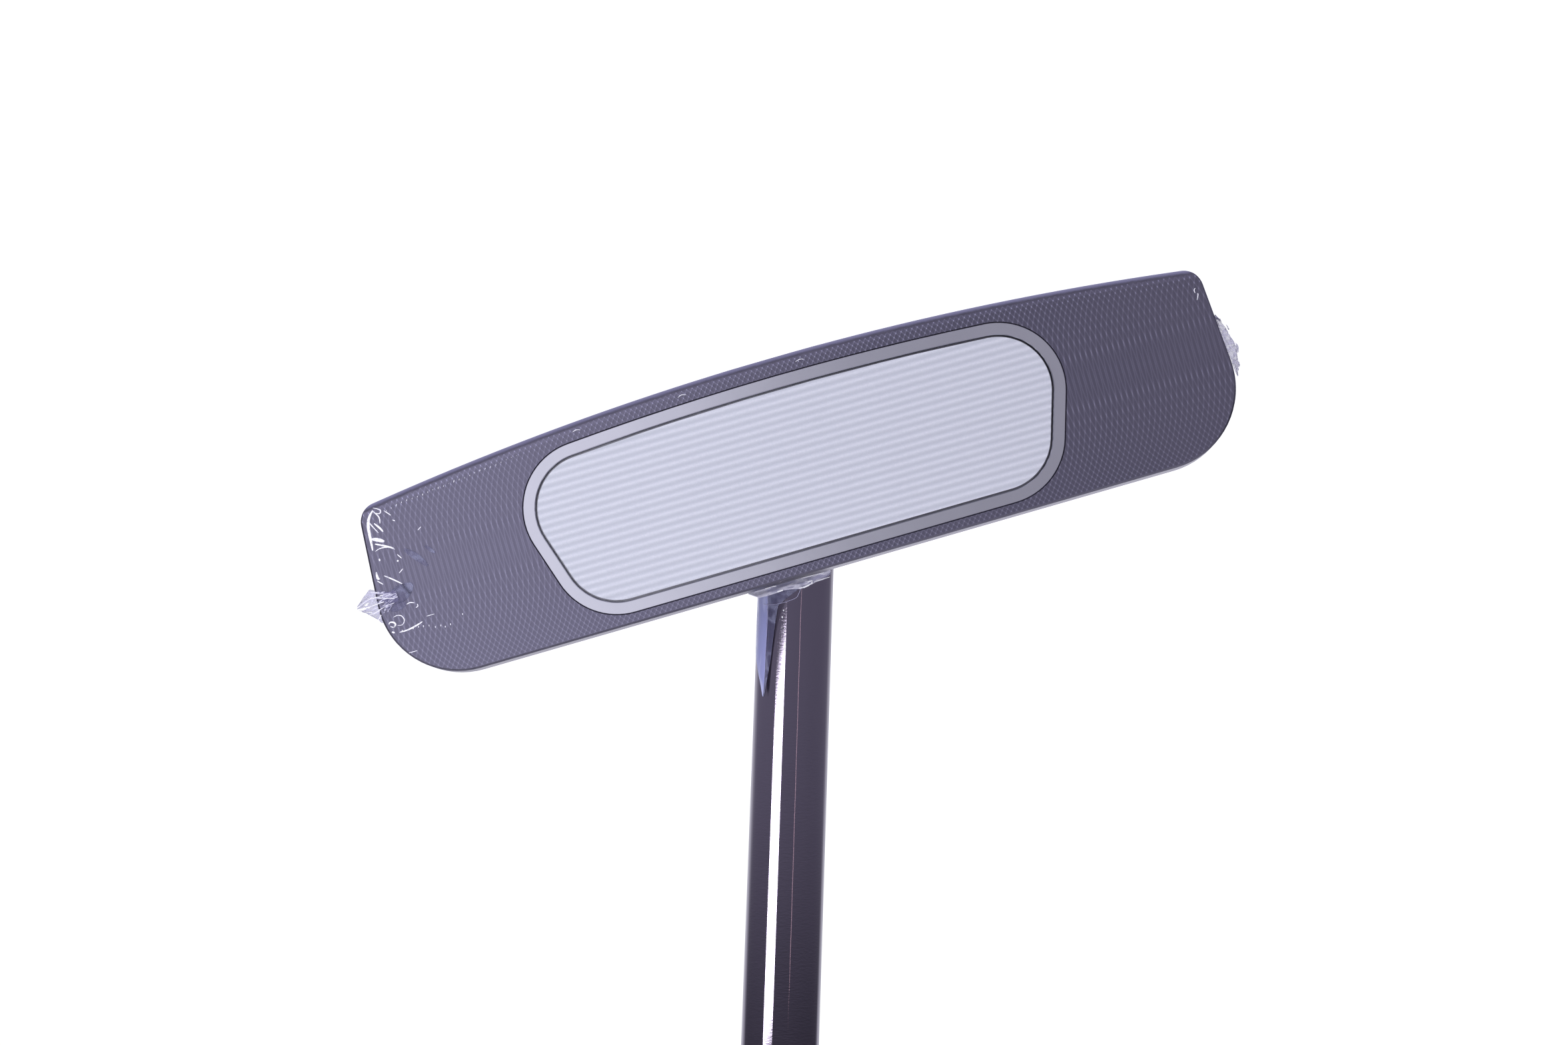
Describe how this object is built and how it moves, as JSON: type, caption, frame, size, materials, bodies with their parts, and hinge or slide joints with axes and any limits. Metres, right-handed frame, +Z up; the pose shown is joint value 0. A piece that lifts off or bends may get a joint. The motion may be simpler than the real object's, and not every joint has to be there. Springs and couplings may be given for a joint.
{
  "type": "mallet putter",
  "caption": "Centre-shafted mallet putter with a ribbed soft face pad in a metal rim, milled dark face, mirror shaft, rubber grip and screw-in sole weights.",
  "frame": {"origin": "middle of the small flat on the sole that meets the ground, 8 mm behind the leading edge", "axes": "+Z up as at address, -Y the way the face looks (the ball leaves along -Y), +X towards the heel, so the shaft leans 18 degrees from +Z towards +X"},
  "size_m": [0.333, 0.0759, 0.8248],
  "materials": {
    "milled_steel": "fine fly-cut milling under a dark physical-vapour coat",
    "rim_metal": "satin, bead blasted",
    "pad_urethane": "moulded ribs, fine grain",
    "adhesive": "bonding film",
    "foam_tape": "foam tape",
    "flange_aluminium": "bead blasted and anodised dark",
    "screw_steel": "turned, zinc plated",
    "crown_black": "anodised satin black",
    "line_white": "smooth white enamel",
    "damper_rubber": "moulded elastomer",
    "sole_aluminium": "brushed and anodised dark",
    "weight_steel": "turned face, satin",
    "washer_nylon": "nylon",
    "shaft_chrome": "black chrome, mirror polished",
    "plug_cork": "pressed cork",
    "grip_tape": "double-sided crepe tape",
    "grip_foam": "closed-cell foam",
    "grip_skin": "fine pebbled polyurethane with a stitched back seam",
    "cap_plastic": "moulded, fine spark texture",
    "film": "clear shrink film"
  },
  "bodies": {
    "club": {"front_body": "milled_steel", "face_tray": "rim_metal", "face_pad": "pad_urethane", "pad_adhesive": "adhesive", "tray_tape": "foam_tape", "rear_body": "flange_aluminium", "frame_screws": "screw_steel", "crown_plate": "crown_black", "alignment_lines": "line_white", "damping_block": "damper_rubber", "sole_plate": "sole_aluminium", "sole_screws": "screw_steel", "shaft": "shaft_chrome", "shaft_tip_plug": "plug_cork", "grip_tape": "grip_tape", "grip_core": "grip_foam", "grip_skin": "grip_skin", "grip_cap": "cap_plastic", "film_heel_tuft": "film", "film_toe_tuft": "film", "film_shaft_strip": "film"},
    "heel_washer": {"heel_weight_washer": "washer_nylon"},
    "heel_weight": {"heel_weight": "weight_steel"},
    "toe_washer": {"toe_weight_washer": "washer_nylon"},
    "toe_weight": {"toe_weight": "weight_steel"}
  },
  "joints": [
    {"name": "heel_weight_out", "type": "slide", "parent": "club", "child": "heel_washer", "axis": [0.12, 0, -0.9928], "range_m": [0, 0.00625]},
    {"name": "heel_weight_turn", "type": "hinge", "parent": "heel_washer", "child": "heel_weight", "pos_m": [0.045, 0.0002, 0.00266], "axis": [0.12, 0, -0.9928], "range_deg": [0, 1801]},
    {"name": "toe_weight_out", "type": "slide", "parent": "club", "child": "toe_washer", "axis": [-0.12, 0, -0.9928], "range_m": [0, 0.00625]},
    {"name": "toe_weight_turn", "type": "hinge", "parent": "toe_washer", "child": "toe_weight", "pos_m": [-0.045, 0.0002, 0.00266], "axis": [-0.12, 0, -0.9928], "range_deg": [0, 1801]}
  ],
  "couplings": [
    {"joint": "heel_weight_turn", "follows": "heel_weight_out", "rad_per_m": 5026.5},
    {"joint": "toe_weight_turn", "follows": "toe_weight_out", "rad_per_m": 5026.5}
  ]
}
